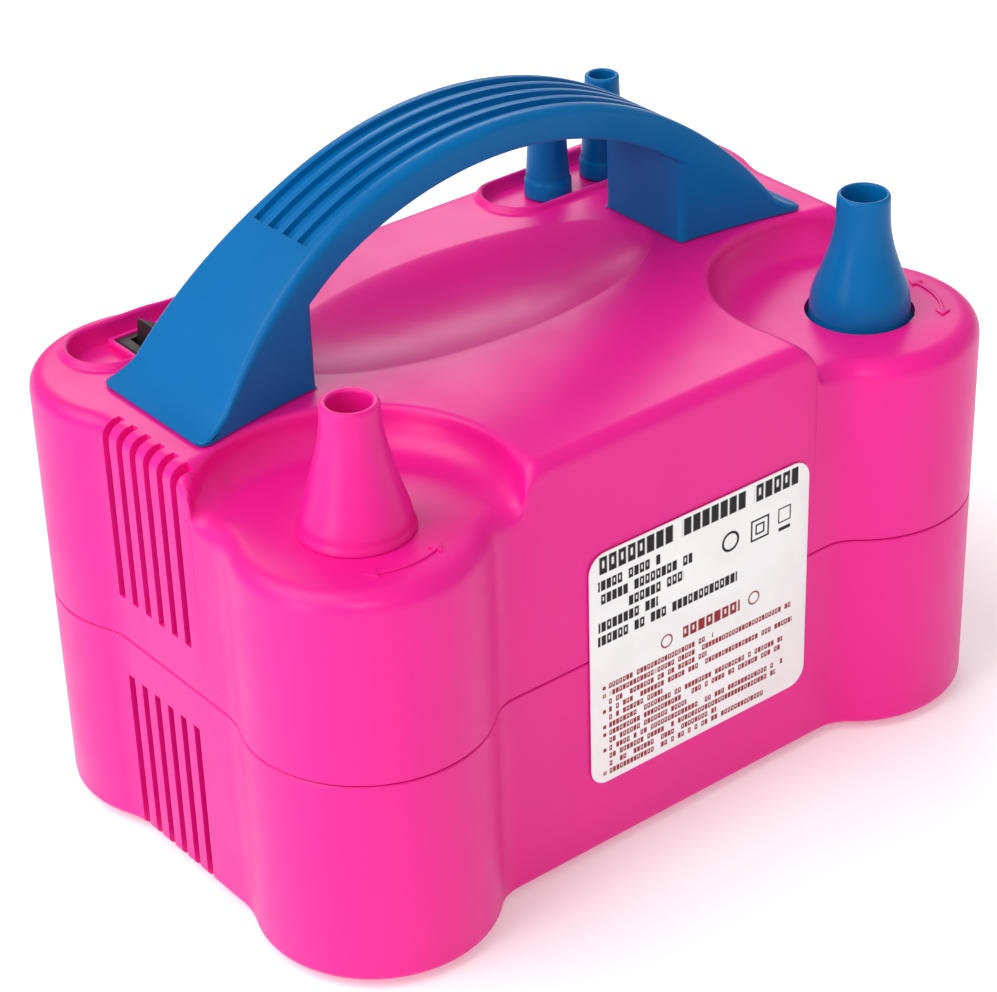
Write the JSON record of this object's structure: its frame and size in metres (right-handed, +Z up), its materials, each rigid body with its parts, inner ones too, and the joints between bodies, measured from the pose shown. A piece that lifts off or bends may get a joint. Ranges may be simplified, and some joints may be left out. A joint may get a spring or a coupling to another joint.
{
  "type": "electric balloon blower pump",
  "caption": "Electric balloon inflator: lobed two-part case with an arched handle, a fixed nozzle, a press-to-blow nozzle and stored spare nozzles.",
  "frame": {"origin": "middle of the footprint, on the plane that the rubber feet stand on", "axes": "+Z up, +X along the case and its handle, -Y the side with the label and the two air nozzles"},
  "size_m": [0.2148, 0.1393, 0.166],
  "materials": {
    "pink_plastic": "injection-moulded, satin gloss",
    "blue_plastic": "injection-moulded, satin gloss",
    "black_plastic": "moulded, fine texture",
    "cream_plastic": "moulded",
    "white_plastic": "moulded",
    "rubber": "matt",
    "label_film": "printed film, satin",
    "steel": "zinc plated",
    "laminations": "stacked sheet steel, varnished",
    "copper": "enamelled copper",
    "brass": "pressed brass"
  },
  "bodies": {
    "case": {"bottom_shell": "pink_plastic", "top_shell": "pink_plastic", "handle": "blue_plastic", "handle_underside": "blue_plastic", "fixed_nozzle": "pink_plastic", "press_spring": "steel", "rocker_frame": "black_plastic", "label_plate": "label_film", "cord_grommet": "rubber", "foot_1": "rubber", "foot_2": "rubber", "foot_3": "rubber", "foot_4": "rubber", "case_screw_1": "steel", "case_screw_2": "steel", "case_screw_3": "steel", "case_screw_4": "steel", "handle_screw_1": "steel", "handle_screw_2": "steel", "handle_screw_3": "steel", "handle_screw_4": "steel", "terminal_block": "cream_plastic", "microswitch": "black_plastic", "field_core_left": "laminations", "field_coil_left_1": "copper", "field_coil_left_2": "copper", "motor_bracket_left": "steel", "brush_holder_left_1": "brass", "brush_holder_left_2": "brass", "lower_bearing_left": "steel", "upper_bearing_left": "steel", "fan_base_left": "white_plastic", "fan_cover_left": "white_plastic", "outlet_duct_left": "white_plastic", "mount_ring_left": "rubber", "field_core_right": "laminations", "field_coil_right_1": "copper", "field_coil_right_2": "copper", "motor_bracket_right": "steel", "brush_holder_right_1": "brass", "brush_holder_right_2": "brass", "lower_bearing_right": "steel", "upper_bearing_right": "steel", "fan_base_right": "white_plastic", "fan_cover_right": "white_plastic", "outlet_duct_right": "white_plastic", "mount_ring_right": "rubber"},
    "press_nozzle": {"press_nozzle": "blue_plastic"},
    "switch_lever": {"microswitch_lever": "steel"},
    "rocker": {"rocker_button": "black_plastic"},
    "spare_nozzle_1": {"spare_nozzle_1": "blue_plastic"},
    "spare_nozzle_2": {"spare_nozzle_2": "blue_plastic"},
    "left_rotor": {"motor_shaft_left": "steel", "armature_left": "laminations", "commutator_left": "copper", "impeller_left": "white_plastic"},
    "right_rotor": {"motor_shaft_right": "steel", "armature_right": "laminations", "commutator_right": "copper", "impeller_right": "white_plastic"}
  },
  "joints": [
    {"name": "nozzle_press", "type": "slide", "parent": "case", "child": "press_nozzle", "axis": [0, 0, -1], "range_m": [0, 0.004], "stiffness_N_per_m": 700, "springref_m": -0.004, "deforming": ["press_spring"]},
    {"name": "lever_swing", "type": "hinge", "parent": "case", "child": "switch_lever", "pos_m": [0.07, -0.0594, 0.0942], "axis": [0, 1, 0], "range_deg": [0, 16.2]},
    {"name": "rocker_tilt", "type": "hinge", "parent": "case", "child": "rocker", "pos_m": [-0.0665, 0.0518, 0.1129], "axis": [0, 1, 0], "range_deg": [-30, 0]},
    {"name": "spare_1_lift", "type": "slide", "parent": "case", "child": "spare_nozzle_1", "axis": [0, 0, 1], "range_m": [0, 0.045]},
    {"name": "spare_2_lift", "type": "slide", "parent": "case", "child": "spare_nozzle_2", "axis": [0, 0, 1], "range_m": [0, 0.045]},
    {"name": "left_fan_spin", "type": "hinge", "parent": "case", "child": "left_rotor", "pos_m": [-0.05, 0.005, 0.052], "axis": [0, 0, 1], "continuous": true},
    {"name": "right_fan_spin", "type": "hinge", "parent": "case", "child": "right_rotor", "pos_m": [0.05, 0.005, 0.052], "axis": [0, 0, 1], "continuous": true}
  ],
  "couplings": [
    {"joint": "lever_swing", "follows": "nozzle_press", "rad_per_m": 69.8}
  ]
}
